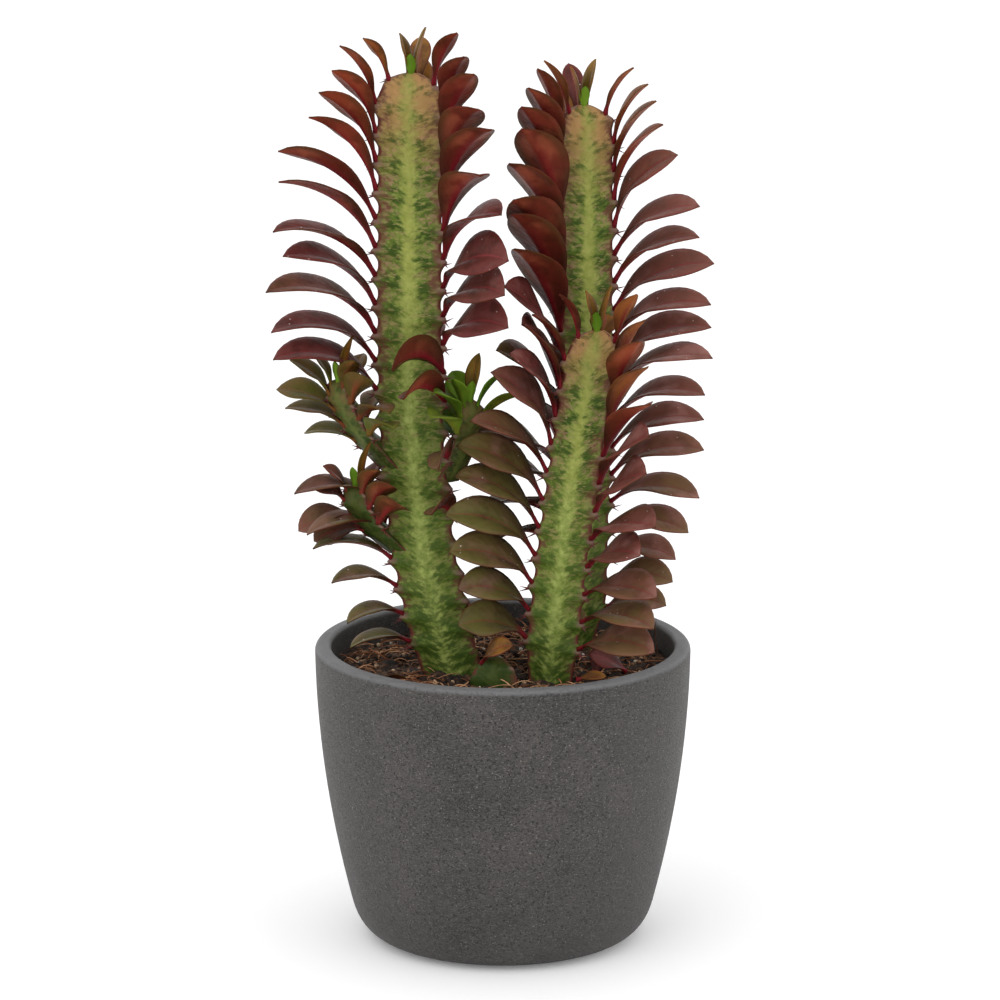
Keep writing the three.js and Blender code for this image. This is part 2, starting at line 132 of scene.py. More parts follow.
heel_slope = (RIM_RADIUS - HEEL_RADIUS) * WALL_CURVE / (POT_HEIGHT - HEEL_HEIGHT)
heel_pull = HEEL_RADIUS - heel_slope * HEEL_HEIGHT
heel = []
for i in range(HEEL_STEPS + 1):
    t = i / HEEL_STEPS
    heel_r = FOOT_RADIUS * (1 - t) ** 2 + 2 * heel_pull * t * (1 - t) + HEEL_RADIUS * t * t
    heel.append((heel_r, HEEL_HEIGHT * t * t))
outer_wall = [(wall_radius(z), z) for z in OUTER_ROWS]
lip_radius = wall_radius(POT_HEIGHT - LIP_ROUND) - WALL
rim = rounded(RIM_RADIUS - RIM_ROUND, POT_HEIGHT - RIM_ROUND, RIM_ROUND, 0, 90, RIM_STEPS)
lip = rounded(lip_radius + LIP_ROUND, POT_HEIGHT - LIP_ROUND, LIP_ROUND, 90, 180, LIP_STEPS)
inner_wall = [(wall_radius(z) - WALL, z) for z in reversed(INNER_ROWS)]
inner_floor = [INNER_HEEL, (INNER_FLOOR_RADIUS, FLOOR), (0, FLOOR)]
pot = spun("pot_shell", [(0, 0)] + heel + outer_wall + rim + lip + inner_wall + inner_floor, POT_STEPS)


def finish(name):
    """A new material, its node tree and its shader"""
    material = bpy.data.materials.new(name)
    material.use_nodes = True
    return material, material.node_tree, material.node_tree.nodes["Principled BSDF"]


def feed(tree, node, inputs):
    """Give a node its inputs, each either a value or another node's socket"""
    for name, value in inputs.items():
        if isinstance(value, bpy.types.NodeSocket):
            tree.links.new(value, node.inputs[name])
        else:
            node.inputs[name].default_value = value


def put(tree, kind, inputs=None, **settings):
    """A new node with its settings and inputs"""
    node = tree.nodes.new(kind)
    for name, value in settings.items():
        setattr(node, name, value)
    feed(tree, node, inputs or {})
    return node


def place_on(tree):
    """The place on a piece that its patterns are laid by"""
    return put(tree, "ShaderNodeTexCoord").outputs["Object"]


def stretched(tree, place, scale_z):
    """The same place with its heights stretched, which flattens a pattern laid by it"""
    inputs = {"Vector": place, "Scale": (1.0, 1.0, scale_z)}
    return put(tree, "ShaderNodeMapping", inputs).outputs["Vector"]


def colours(tree, share, low, high):
    """One colour that gives way to another by a share"""
    return put(tree, "ShaderNodeMix", {0: share, 6: low, 7: high}, data_type="RGBA").outputs[2]


def span(tree, value, low, high, to_low=0.0, to_high=1.0):
    """A value brought smoothly from one range to another"""
    inputs = {"Value": value, "From Min": low, "From Max": high, "To Min": to_low, "To Max": to_high}
    return put(tree, "ShaderNodeMapRange", inputs, interpolation_type="SMOOTHSTEP").outputs[0]


def sums(tree, operation, first, second=0.0):
    return put(tree, "ShaderNodeMath", {0: first, 1: second}, operation=operation).outputs[0]


def times(tree, *values):
    """The product of two or more values"""
    product = values[0]
    for value in values[1:]:
        product = sums(tree, "MULTIPLY", product, value)
    return product


def clouds(tree, place, scale, detail=4.0, rough=0.5):
    inputs = {"Vector": place, "Scale": scale, "Detail": detail, "Roughness": rough}
    return put(tree, "ShaderNodeTexNoise", inputs).outputs["Fac"]


def bumps(tree, height, strength, distance):
    """The normals of a surface raised by a value"""
    inputs = {"Height": height, "Strength": strength, "Distance": distance}
    return put(tree, "ShaderNodeBump", inputs).outputs["Normal"]


def ramp(tree, value, stops):
    """A colour that changes along a value, through (place, colour) stops"""
    node = put(tree, "ShaderNodeValToRGB", {"Fac": value})
    for i, (place, colour) in enumerate(stops):
        stop = node.color_ramp.elements[i] if i < 2 else node.color_ramp.elements.new(place)
        stop.position = place
        stop.color = (*colour, 1)
    return node.outputs["Color"]


def fleck_group():
    """Small round flecks scattered over a surface, as sand in cement or dust on a leaf"""
    group = bpy.data.node_groups.new("Flecks", "ShaderNodeTree")
    for name, kind in (("Place", "Vector"), ("Scale", "Float"), ("Size", "Float"), ("Share", "Float")):
        group.interface.new_socket(name, in_out="INPUT", socket_type=f"NodeSocket{kind}")
    group.interface.new_socket("Mask", in_out="OUTPUT", socket_type="NodeSocketFloat")
    given = group.nodes.new("NodeGroupInput").outputs
    cells = put(group, "ShaderNodeTexVoronoi", {"Vector": given["Place"], "Scale": given["Scale"]})
    edge = times(group, given["Size"], 0.7)
    near = span(group, cells.outputs["Distance"], given["Size"], edge)
    chance = put(group, "ShaderNodeSeparateColor", {"Color": cells.outputs["Color"]}).outputs["Red"]
    kept = sums(group, "LESS_THAN", chance, given["Share"])
    out = group.nodes.new("NodeGroupOutput")
    group.links.new(times(group, near, kept), out.inputs["Mask"])
    return group


flecks = fleck_group()


def fleck_mask(tree, place, scale, size, share):
    inputs = {"Place": place, "Scale": scale, "Size": size, "Share": share}
    return put(tree, "ShaderNodeGroup", inputs, node_tree=flecks).outputs["Mask"]


cement, tree, shader = finish("fibre_cement")
place = place_on(tree)
height = put(tree, "ShaderNodeSeparateXYZ", {"Vector": place}).outputs["Z"]
layered = stretched(tree, place, 4.5)
cloudy = clouds(tree, place, 26.0, 7.0, 0.62)
streaky = clouds(tree, layered, 150.0, 5.0, 0.65)
mixed = sums(tree, "ADD", times(tree, cloudy, 0.65), times(tree, streaky, 0.35))
tone = ramp(tree, mixed, [(0.38, (0.012, 0.0108, 0.0102)), (0.62, (0.052, 0.0465, 0.0435))])
sandy = clouds(tree, layered, 620.0, 4.0, 0.75)
tone = colours(tree, span(tree, sandy, 0.48, 0.64, 0.0, 0.8), tone, (0.105, 0.095, 0.088, 1))
grit = clouds(tree, place, 1300.0, 2.0, 0.5)
tone = colours(tree, span(tree, grit, 0.63, 0.73, 0.0, 0.7), tone, (0.25, 0.23, 0.215, 1))
pits = span(tree, clouds(tree, place, 820.0, 3.0, 0.65), 0.42, 0.35)
tone = colours(tree, pits, tone, (0.008, 0.0075, 0.007, 1))
low_share = span(tree, height, 0.09, 0.01, 0.0, 0.2)
tone = colours(tree, low_share, tone, (0.014, 0.013, 0.0125, 1))
# Painted highlight: the top face of the rim is painted lighter, where the light falls on it.
rim_highlight_share = span(tree, height, (POT_HEIGHT - RIM_ROUND) * MM, (POT_HEIGHT - 0.8) * MM, 0.0, 0.75)
tone = colours(tree, rim_highlight_share, tone, (0.165, 0.166, 0.172, 1))
surface = sums(tree, "SUBTRACT", times(tree, sandy, 0.5), pits)
feed(tree, shader, {
    "Base Color": tone, "Roughness": span(tree, mixed, 0.35, 0.65, 0.5, 0.68),
    "Normal": bumps(tree, surface, 0.7, 0.0008),
})

pot.data.materials.append(cement)
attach(pot, "root")
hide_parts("pot")


# The soil is coco and peat, loose and lumpy, a centimetre under the rim. Its buried part fills
# the pot, and its top is worked into small crumbs.
SOIL_LEVEL = 134
SOIL_EDGE_DROP = 4
SOIL_LUMP = 1.1
SOIL_CRUMB = 2.3
COARSE_CRUMBS = 0.16
FINE_CRUMBS = 0.45
SETTLED_WIDTH = 4
SETTLED_SHARE = 0.3
SOIL_STEPS = 160
SOIL_RINGS = 70
WALL_GAP = 0.5


def soil_top(x, y):
    """The soil's level: a little lower at the wall, in low lumps from two crossed waves"""
    out = math.hypot(x, y) / RIM_RADIUS
    lumps = math.sin(x * 0.19 + 0.7) * math.cos(y * 0.23 - 0.4) + 0.6 * math.sin(x * 0.41 - y * 0.37)
    return SOIL_LEVEL - SOIL_EDGE_DROP * out * out + SOIL_LUMP * lumps


def crumbs(x, y):
    """How far the loose soil stands above or below its level, in millimetres"""
    coarse = noise.noise(Vector((x * COARSE_CRUMBS, y * COARSE_CRUMBS, 2.0)))
    fine = noise.noise(Vector((x * FINE_CRUMBS, y * FINE_CRUMBS, 7.0)))
    return SOIL_CRUMB * (0.6 * coarse + 0.7 * fine)


soil_edge = wall_radius(SOIL_LEVEL - SOIL_EDGE_DROP) - WALL - WALL_GAP
soil_side = [(wall_radius(z) - WALL - WALL_GAP, z) for z in INNER_ROWS[:-1]]
heel_r, heel_z = INNER_HEEL
soil_base = [(0, FLOOR + WALL_GAP), (INNER_FLOOR_RADIUS - WALL_GAP, FLOOR + WALL_GAP),
             (heel_r - WALL_GAP, heel_z + WALL_GAP)]
soil_face = [(soil_edge * (1 - i / SOIL_RINGS), SOIL_LEVEL) for i in range(SOIL_RINGS + 1)]
soil = spun("soil_bed", soil_base + soil_side + soil_face, SOIL_STEPS)
for vertex in soil.data.vertices:
    x, y, z = vertex.co / MM
    if z > SOIL_LEVEL - 1:
        settled = min(1, (soil_edge - math.hypot(x, y)) / SETTLED_WIDTH + SETTLED_SHARE)
        vertex.co.z = (soil_top(x, y) + settled * crumbs(x, y)) * MM

earth, tree, shader = finish("coco_soil")
place = place_on(tree)
lumpy = clouds(tree, place, 160.0, 8.0, 0.65)
tone = ramp(tree, lumpy, [(0.38, (0.004, 0.0025, 0.0015)), (0.68, (0.26, 0.130, 0.064)),
                          (0.53, (0.036, 0.017, 0.009))])
tone = colours(tree, fleck_mask(tree, place, 420.0, 0.26, 0.16), tone, (0.30, 0.16, 0.075, 1))
tone = colours(tree, fleck_mask(tree, place, 330.0, 0.2, 0.05), tone, (0.62, 0.58, 0.52, 1))
feed(tree, shader, {"Base Color": tone, "Roughness": 0.95, "Normal": bumps(tree, lumpy, 0.9, 0.0025)})

soil.data.materials.append(earth)
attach(soil, "root")
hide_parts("soil")


# The stems have three ribs with a tooth every 13 mm, a pair of spines and a leaf on each tooth.
# They grew from the soil in one piece with their leaves, and they follow the same rule as the model.
RIBS = 3
RIB_STEP = 360 / RIBS
LEAF_ROOT = 2.6
LEAF_RISE = 1.6
LEAF_THICKNESS = 0.8
PETIOLE_HALF_WIDTH = 1.5
BLADE_FULLNESS = 0.8
FOLD_AT_TIP = 16
FOLD_OPENS_BY = 0.6
FOLD_SHARPNESS = 4
BLUNT_TIP = 0.9999
LEAF_COLUMNS = 8
LEAF_ROWS = 16
EDGE_CURL = 0.1
CURL_POWER = 1.5
EDGE_RIPPLE = 0.045
RIPPLE_TURN = 9
MIDRIB_THICKNESS = 1.15
EDGE_THINNING = 0.65
STALK_THICKENING = 1.2
FIRST_TOOTH_DROP = 1
DOME_RISE = 1
FEW_TEETH = 8
FEW_TEETH_AGE = 0.25
AGE_PER_TOOTH = 0.12
GREEN_VARIES = 0.5

# Each value of a leaf goes by the tooth that it stands on, counted down from the stem's tip.
GROWN = {
    "lift": [(0, 62), (3, 56), (6, 31), (10, 17), (19, 0)],
    "arch": [(0, 40), (4, 58), (10, 66), (19, 62)],
    "length": [(0, 26), (1, 35), (2, 40), (3, 46), (5, 53), (11, 55), (15, 42), (19, 28)],
    "half_width": [(0, 4.5), (2, 6.8), (5, 8.6), (10, 9.4), (19, 8)],
    "swell": [(0, 1.75), (4, 1.6), (9, 1.3)],
    "fold": [(0, 50), (6, 48), (11, 26)],
    "twist": [(0, 0)],
}
UPRIGHT = {
    **GROWN,
    "lift": [(0, 66), (3, 62), (7, 54), (11, 40), (15, 22), (19, 8)],
    "arch": [(0, 30), (9, 42), (19, 60)],
    "length": [(0, 26), (2, 38), (4, 45), (14, 50), (18, 42)],
    "half_width": [(0, 6), (2, 10), (5, 12.5), (10, 11.5), (19, 9)],
    "fold": [(0, 26), (11, 20)],
}
WANDER = {"heading": 12, "lift": 6, "length": 0.08, "twist": 16, "bow": 0.09}
TALL = {
    "seed": 11, "facing": -10, "rib_radius": 21.5, "valley": 4, "pitch": 13.5,
    "foot": 80, "tip": 418, "x": (0, -58, -38, -42.5), "y": (-14, -8, -5, -2),
    "tip_length": 14, "lowest_tooth": 146, "sprouts": 3,
    "ribs": (
        {"leaves": {**GROWN, "arch": [(0, 40), (4, 58), (8, 66), (10, 80), (14, 62)],
                    "length": [(0, 26), (2, 40), (4, 54), (6, 60), (11, 63), (15, 46), (19, 28)],
                    "half_width": [(0, 5), (2, 7.8), (5, 9.8), (10, 11), (15, 9), (19, 8)],
                    "twist": [(0, 10), (2, 26), (6, 24), (7, 5), (9, -32), (12, -32), (15, -10)]},
         "bare": (12, 13, 14)},
        {"leaves": {**GROWN, "fold": [(0, 34)], "twist": [(0, -5), (2, -18), (5, -10), (7, 52)],
                    "length": [(0, 30), (2, 46), (4, 57), (6, 62), (8, 62), (10, 55), (13, 46), (15, 30)],
                    "half_width": [(0, 5.6), (2, 9), (5, 11.5), (7, 13), (9, 13), (13, 9), (19, 8)]},
         "turn": -12, "turns": {10: -68, 11: -64, 13: -44, 15: -72}, "length": 0.88,
         "bare": (12, 14, 16, 17, 18, 19)},
        {"leaves": GROWN, "length": 0.85, "bare": (3, 5, 7, 9, 11, 13, 15, 17, 18, 19)},
    ),
}
SPROUT_SPREAD = 2.2
SPROUT_SHAPE = {"lift": 80, "arch": 16, "swell": 1.4, "fold": 40, "twist": 0, "bow": 0}
SPROUTS = (
    {"turn": 0, "length": 13, "half_width": 2.6, "green": 1.0},
    {"turn": 105, "length": 25, "half_width": 5.4, "green": 0.15},
    {"turn": -100, "length": 22, "half_width": 5, "green": 0.1},
)


def seeded_draw(seed):
    """The same numbers from -1 to 1 on every run"""
    multiplier = 16807
    modulus = 2147483647
    state = seed * multiplier
    while True:
        state = state * multiplier % modulus
        yield 2 * state / modulus - 1


def keyed(keys, place):
    """The value at a place along (place, value) keys, straight between them"""
    if place <= keys[0][0]:
        return keys[0][1]
    for (start, low), (end, high) in zip(keys, keys[1:]):
        if place < end:
            return low + (high - low) * (place - start) / (end - start)
    return keys[-1][1]


def smooth_rise(value, low, high):
    """From 0 to 1 as a value goes from low to high, level at both ends"""
    t = min(1, max(0, (value - low) / (high - low)))
    return t * t * (3 - 2 * t)


def outward(heading, lift=0):
    """The direction at a heading, where 0 is to the front and 90 to the right, and at a lift"""
    turn, up = math.radians(heading), math.radians(lift)
    return Vector((math.sin(turn) * math.cos(up), -math.cos(turn) * math.cos(up), math.sin(up)))


def axis_at(stem, z):
    """The middle of a stem at a height, on a smooth curve from its foot to its tip"""
    t = (z - stem["foot"]) / (stem["tip"] - stem["foot"])
    share = ((1 - t) ** 3, 3 * t * (1 - t) ** 2, 3 * t * t * (1 - t), t ** 3)
    x = sum(value * part for value, part in zip(stem["x"], share))
    y = sum(value * part for value, part in zip(stem["y"], share))
    return Vector((x, y, z))


def fullness(stem, z):
    """The share of its full radius that a stem has at a height"""
    down = (stem["tip"] + DOME_RISE - z) / stem["tip_length"]
    dome = math.sqrt(1 - (1 - max(down, 0)) ** 2) if down < 1 else 1
    if "base_share" not in stem:
        return dome
    rise = smooth_rise(z, SOIL_LEVEL, SOIL_LEVEL + stem["base_length"])
    return dome * (stem["base_share"] + (1 - stem["base_share"]) * rise)


def tooth_height(stem, rib, tooth):
    return stem["tip"] - FIRST_TOOTH_DROP - stem["pitch"] * (tooth + rib / RIBS)


def rib_heading(stem, rib):
    return stem["facing"] - RIB_STEP / 2 + RIB_STEP * rib


def leaves_of(stem):
    """Where each leaf of a stem stands, and its size and shape"""
    draw = seeded_draw(stem["seed"])
    leaves = []
    green = stem.get("green", 0)
    lowest = (stem["tip"] - FIRST_TOOTH_DROP - stem["lowest_tooth"]) / stem["pitch"]
    for rib in range(RIBS):
        tooth = -1
        while tooth_height(stem, rib, tooth + 1) > stem["lowest_tooth"]:
            tooth += 1
            turn, tilt, stretch, twist, bow = (next(draw) for _ in range(5))
            row = stem["ribs"][rib]
            if tooth in row.get("bare", ()):
                continue
            place = tooth + rib / RIBS
            z = min(tooth_height(stem, rib, tooth) + LEAF_RISE, stem["tip"] - LEAF_ROOT)
            heading = rib_heading(stem, rib)
            reach = stem["rib_radius"] * fullness(stem, z) - LEAF_ROOT
            turned = row.get("turn", 0) + row.get("turns", {}).get(tooth, 0) + WANDER["heading"] * turn
            age = min(1, place / lowest) if lowest > FEW_TEETH else FEW_TEETH_AGE + AGE_PER_TOOTH * place
            leaf = {part: keyed(keys, place) for part, keys in row["leaves"].items()}
            leaf["lift"] += WANDER["lift"] * tilt
            leaf["twist"] += WANDER["twist"] * twist
            leaf["length"] *= 1 + WANDER["length"] * stretch
            leaf["length"] *= row.get("length", 1)
            leaf.update({
                "root": axis_at(stem, z) + outward(heading) * reach,
                "heading": heading + turned,
                "bow": WANDER["bow"] * bow,
                "age": age + row.get("older", 0),
                "vary": 0.5 + 0.5 * stretch,
                "green": max(0, green + GREEN_VARIES * green * bow),
                "pale": row.get("pale", 0),
            })
            leaves.append(leaf)
    return leaves


def sprouts_of(stem):
    """The young leaves that stand round the growing tip"""
    top = axis_at(stem, stem["tip"] - LEAF_ROOT)
    sprouts = []
    for sprout in SPROUTS[:stem["sprouts"]]:
        heading = stem["facing"] + sprout["turn"]
        sprouts.append({
            **sprout, **SPROUT_SHAPE, "root": top + outward(heading) * SPROUT_SPREAD, "heading": heading,
            "age": 0.0, "vary": 0.5, "pale": 0,
        })
    return sprouts


def flat_grid(name, columns, rows):
    """A flat grid from -1 to 1 both ways, to be bent into a leaf, a skin or a thread"""
    deselect()
    bpy.ops.mesh.primitive_grid_add(x_subdivisions=columns, y_subdivisions=rows, size=2)
    bpy.context.object.name = name
    return bpy.context.object


leaf_blank = flat_grid("leaf_blank", LEAF_COLUMNS, LEAF_ROWS)
edit_all()
bpy.ops.mesh.extrude_region_move(TRANSFORM_OT_translate={"value": (0, 0, 1)})
bpy.ops.mesh.select_all(action="SELECT")
bpy.ops.mesh.normals_make_consistent(inside=False)
end_edit()
upper = leaf_blank.data.attributes.new("upper", "FLOAT", "FACE")
for face in leaf_blank.data.polygons:
    upper.data[face.index].value = 1.0 if face.normal.z > 0.5 else 0.0


def leaf_point(leaf, across, s, through):
    """Where a point of the blank comes on a leaf that is folded, arched, twisted and bowed"""
    start_lift = math.radians(leaf["lift"] + leaf["arch"] / 2)
    arch = math.radians(leaf["arch"])
    ahead = outward(leaf["heading"])
    side = outward(leaf["heading"] + 90)
    lift = start_lift - arch * s
    along = leaf["length"] * (math.sin(start_lift) - math.sin(lift)) / arch
    rise_by = leaf["length"] * (math.cos(lift) - math.cos(start_lift)) / arch
    middle = leaf["root"] + ahead * along + side * (leaf["bow"] * leaf["length"] * s * s)
    middle.z += rise_by
    blade = math.sin(math.pi * min(s, BLUNT_TIP) ** leaf["swell"]) ** BLADE_FULLNESS
    foot = PETIOLE_HALF_WIDTH * (1 - smooth_rise(s, 0.7, 1))
    half = max(foot, leaf["half_width"] * blade)
    closed = max(0, 1 - s / FOLD_OPENS_BY)
    fold = math.radians(FOLD_AT_TIP + (leaf["fold"] - FOLD_AT_TIP) * closed)
    fold *= math.copysign(min(1, abs(across) * FOLD_SHARPNESS), across)
    roll = math.radians(leaf["twist"] * s * (2 - s))
    normal = Vector((0, 0, math.cos(lift))) - ahead * math.sin(lift)
    spread = side * math.cos(roll) + normal * math.sin(roll)
    rise = normal * math.cos(roll) - side * math.sin(roll)
    edge = abs(across) ** CURL_POWER
    curl = EDGE_CURL * half * (edge - abs(across)) * -4 * smooth_rise(s, 0.1, 0.5)
    ripple = EDGE_RIPPLE * half * edge * math.sin(RIPPLE_TURN * s + 6 * leaf["vary"] + across)
    thinned = MIDRIB_THICKNESS - EDGE_THINNING * edge * smooth_rise(s, 0.05, 0.3)
    thickened = 1 + STALK_THICKENING * (1 - min(1, 8 * s))
    thick = LEAF_THICKNESS * through * thinned * thickened
    out = across * half * math.cos(fold) - thick * math.sin(fold)
    up = across * half * math.sin(fold) + thick * math.cos(fold) + curl + ripple
    return middle + spread * out + rise * up


LEAF_PARTS = ("age", "vary", "green", "pale")


def mark(mesh, name, values):
    """Keep a value for each point of a mesh, for its material to read"""
    mesh.attributes.new(name, "FLOAT", "POINT").data.foreach_set("value", values)


def joined(name, meshes):
    """One piece made of several meshes"""
    deselect()
    pieces = []
    for mesh in meshes:
        piece = bpy.data.objects.new(name, mesh)
        bpy.context.collection.objects.link(piece)
        piece.select_set(True)
        pieces.append(piece)
    bpy.context.view_layer.objects.active = pieces[0]
    if len(pieces) > 1:
        bpy.ops.object.join()
    pieces[0].name = name
    return pieces[0]


def grown_leaves(name, leaves):
    """Every leaf of a stem, each its own copy of the blank, bent to its place"""
    meshes = []
    for leaf in leaves:
        mesh = leaf_blank.data.copy()
        for vertex in mesh.vertices:
            x, y, z = vertex.co
            vertex.co = leaf_point(leaf, -x, (y + 1) / 2, z - 0.5) * MM
        for part in LEAF_PARTS:
            mark(mesh, part, [leaf[part]] * len(mesh.vertices))
        meshes.append(mesh)
    return joined(name, meshes)


SKIN_SIDES = 96
ROW_STEP = 1.1
TOOTH_HALF_BASE = 0.42
TOOTH_POINT = 1.6
TEETH_FADE = 6
RIB_CUT_TURN = 21
FACE_REACH = 0.525
RIB_SHARPNESS = 34
FACE_SWELL = 0.35
SKIN_BURIED = 8
CROWN = 5
CROWN_ROWS = 8
SKIN_MERGE = 0.004
SKIN_PARTS = ("rib", "beat", "lean", "tooth", "height", "dark")


def skin_heights(stem):
    """Heights of the skin's rows: few in the soil, close together above it"""
    seen = max(stem["foot"], SOIL_LEVEL - SKIN_BURIED)
    heights = [stem["foot"]] if seen > stem["foot"] else []
    crown = stem["tip"] - CROWN
    rows = math.ceil((crown - seen) / ROW_STEP)
    heights += [seen + (crown - seen) * i / rows for i in range(rows)]
    for i in range(CROWN_ROWS + 1):
        heights.append(crown + (CROWN + DOME_RISE) * math.sin(math.pi / 2 * i / CROWN_ROWS))
    return heights


def skin_values(stem, u, z):
    """Radius at a place on the skin, with how near it is to a rib, and where it lies between teeth"""
    rib = round(u * RIBS) % RIBS
    turn = abs(u * RIBS - round(u * RIBS)) * RIB_STEP
    flat = FACE_REACH / math.cos(math.radians(RIB_STEP / 2 - turn))
    section = -math.log(math.exp(-RIB_SHARPNESS * flat) + math.exp(-RIB_SHARPNESS)) / RIB_SHARPNESS
    beat = (stem["tip"] - FIRST_TOOTH_DROP - z) / stem["pitch"] - rib / RIBS
    phase = beat - round(beat)
    toothed = smooth_rise(z, stem["lowest_tooth"] - TEETH_FADE, stem["lowest_tooth"] + TEETH_FADE)
    tooth = max(0, 1 - abs(phase) / TOOTH_HALF_BASE) ** TOOTH_POINT * toothed
    cut = stem["valley"] * (1 - tooth) * math.exp(-(turn / RIB_CUT_TURN) ** 2)
    swell = FACE_SWELL * math.cos(2 * math.pi * phase) * toothed * math.sin(math.radians(RIBS * turn))
    radius = (stem["rib_radius"] * section - cut + swell) * fullness(stem, z)
    return radius, 1 - turn / (RIB_STEP / 2), phase, tooth


def close_tube(merge):
    """Sew the seam of the active tube and close its ends; it stays in edit mode"""
    edit_all()
    bpy.ops.mesh.remove_doubles(threshold=merge)
    bpy.ops.mesh.select_all(action="DESELECT")
    bpy.ops.mesh.select_non_manifold()
    bpy.ops.mesh.edge_face_add()


def grown_skin(name, stem, sides):
    """A stem's skin: a grid rolled into a tube round the stem's axis and closed at both ends"""
    heights = skin_heights(stem)
    rows = len(heights) - 1
    piece = flat_grid(name, sides, rows)
    mesh = piece.data
    values = []
    for vertex in mesh.vertices:
        u = (vertex.co.x + 1) / 2
        z = heights[round((vertex.co.y + 1) / 2 * rows)]
        radius, rib, phase, tooth = skin_values(stem, u, z)
        heading = stem["facing"] - RIB_STEP / 2 + 360 * u
        vertex.co = (axis_at(stem, z) + outward(heading) * radius) * MM
        height = (z - SOIL_LEVEL) / (stem["tip"] - SOIL_LEVEL)
        beat = 2 * math.pi * phase
        values.append((rib, math.cos(beat), math.sin(beat), tooth, height, stem.get("dark", 0)))
    for part, numbers in zip(SKIN_PARTS, zip(*values)):
        mark(mesh, part, numbers)
    close_tube(SKIN_MERGE * MM)
    end_edit()
    return piece


SPINE_SEED = 100
SPINE_LENGTH = 6.6
SPINE_RADIUS = 0.8
SPINE_ROOT = 1.2
SPINE_SPREAD = 18
SPINE_LIFT = 20
SPINE_DROOP = -2
SPINE_DROP = 1
SPINE_SET_BACK = 1.6
SPINE_WAIST = 0.75
SPINE_WAIST_AT = 0.35
SPINE_WANDER = {"heading": 8, "lift": 10, "length": 0.2}

deselect()
bpy.ops.mesh.primitive_cone_add(vertices=6, radius1=1, radius2=0.08, depth=1, location=(0, 0, 0.5))
spine_blank = bpy.context.object
spine_blank.name = "spine_blank"
bpy.ops.object.transform_apply(location=True)
edit_all()
bpy.ops.mesh.bisect(plane_co=(0, 0, SPINE_WAIST_AT), plane_no=(0, 0, 1))
bpy.ops.transform.resize(value=(SPINE_WAIST, SPINE_WAIST, 1))
end_edit()


def grown_spines(name, stem):
    """A pair of spines under every leaf, one a little up and one a little down"""
    draw = seeded_draw(stem["seed"] + SPINE_SEED)
    meshes = []
    for rib in range(RIBS):
        tooth = 0
        while tooth_height(stem, rib, tooth) > stem["lowest_tooth"]:
            z = tooth_height(stem, rib, tooth) - SPINE_DROP
            heading = rib_heading(stem, rib)
            size = fullness(stem, z)
            root = axis_at(stem, z) + outward(heading) * (stem["rib_radius"] * size - SPINE_SET_BACK)
            tooth += 1
            for side in (-1, 1):
                lift = SPINE_DROOP + SPINE_WANDER["lift"] * next(draw) + SPINE_LIFT * side
                aside = side * SPINE_SPREAD
                along = outward(heading + aside + SPINE_WANDER["heading"] * next(draw), lift)
                turn = along.to_track_quat("Z", "Y")
                length = SPINE_LENGTH * (0.85 + SPINE_WANDER["length"] * next(draw)) * (0.6 + 0.4 * size)
                mesh = spine_blank.data.copy()
                for vertex in mesh.vertices:
                    x, y, t = vertex.co
                    point = Vector((x * SPINE_RADIUS, y * SPINE_RADIUS, t * length - SPINE_ROOT))
                    vertex.co = (root + turn @ point) * MM
                mark(mesh, "along", [v.co.z for v in spine_blank.data.vertices])
                meshes.append(mesh)
    return joined(name, meshes)


def attribute(tree, name):
    """A value that was kept for each point of a mesh"""
    return put(tree, "ShaderNodeAttribute", attribute_name=name).outputs["Fac"]


# The skin is smooth and a little waxy. A soft yellow-green band runs down the middle of each face.
# At every tooth a dark green patch feathers out from the rib, with pale tan strokes and thin tan
# streaks between the patches. The tip and the ribs are brown, and each tooth has a grey-pink pad.
skin, tree, shader = finish("ribbed_skin")
place = place_on(tree)
rib, beat, lean, tooth, height, dark = (attribute(tree, part) for part in SKIN_PARTS)
slope = put(tree, "ShaderNodeCombineXYZ", {"Z": times(tree, rib, -0.010)}).outputs["Vector"]
flattened = {0: stretched(tree, place, 1.9), 1: slope}
slanted = put(tree, "ShaderNodeVectorMath", flattened, operation="ADD").outputs["Vector"]
feather = sums(tree, "SUBTRACT", clouds(tree, slanted, 230.0, 4.0, 0.6), 0.5)
stray = sums(tree, "SUBTRACT", clouds(tree, slanted, 380.0, 4.0, 0.6), 0.5)
blotchy = clouds(tree, place, 60.0, 4.0, 0.6)
mottled = clouds(tree, place, 300.0, 5.0, 0.7)
strayed = times(tree, sums(tree, "SUBTRACT", blotchy, 0.5), 0.7)
shifted = sums(tree, "ADD", sums(tree, "ADD", rib, strayed), feather)
young = span(tree, height, 0.4, 0.8)
green = ramp(tree, mottled, [(0.38, (0.095, 0.145, 0.018)), (0.62, (0.195, 0.230, 0.052))])
patch = sums(tree, "ADD", times(tree, beat, 0.4), times(tree, feather, 3.4))
near_rib = span(tree, shifted, 0.12, 0.6)
haze_share = times(tree, span(tree, patch, -0.35, -0.1, 0.0, 0.75), near_rib)
tone = colours(tree, haze_share, green, (0.070, 0.115, 0.014, 1))
core_share = times(tree, span(tree, patch, 0.05, 0.3), near_rib, span(tree, young, 0.0, 1.0, 0.6, 0.95))
tone = colours(tree, core_share, tone, (0.034, 0.066, 0.006, 1))
band_share = times(tree, span(tree, shifted, 0.46, 0.06, 0.0, 0.85),
                   span(tree, height, 0.55, 1.0, 1.0, 0.45), span(tree, patch, 0.35, 0.9, 1.0, 0.55))
band = ramp(tree, mottled, [(0.36, (0.16, 0.215, 0.038)), (0.64, (0.35, 0.41, 0.110))])
band = colours(tree, times(tree, young, 0.6), band, (0.40, 0.39, 0.085, 1))
tone = colours(tree, band_share, tone, band)
gap = sums(tree, "ADD", times(tree, beat, -0.4), times(tree, stray, 4.4))
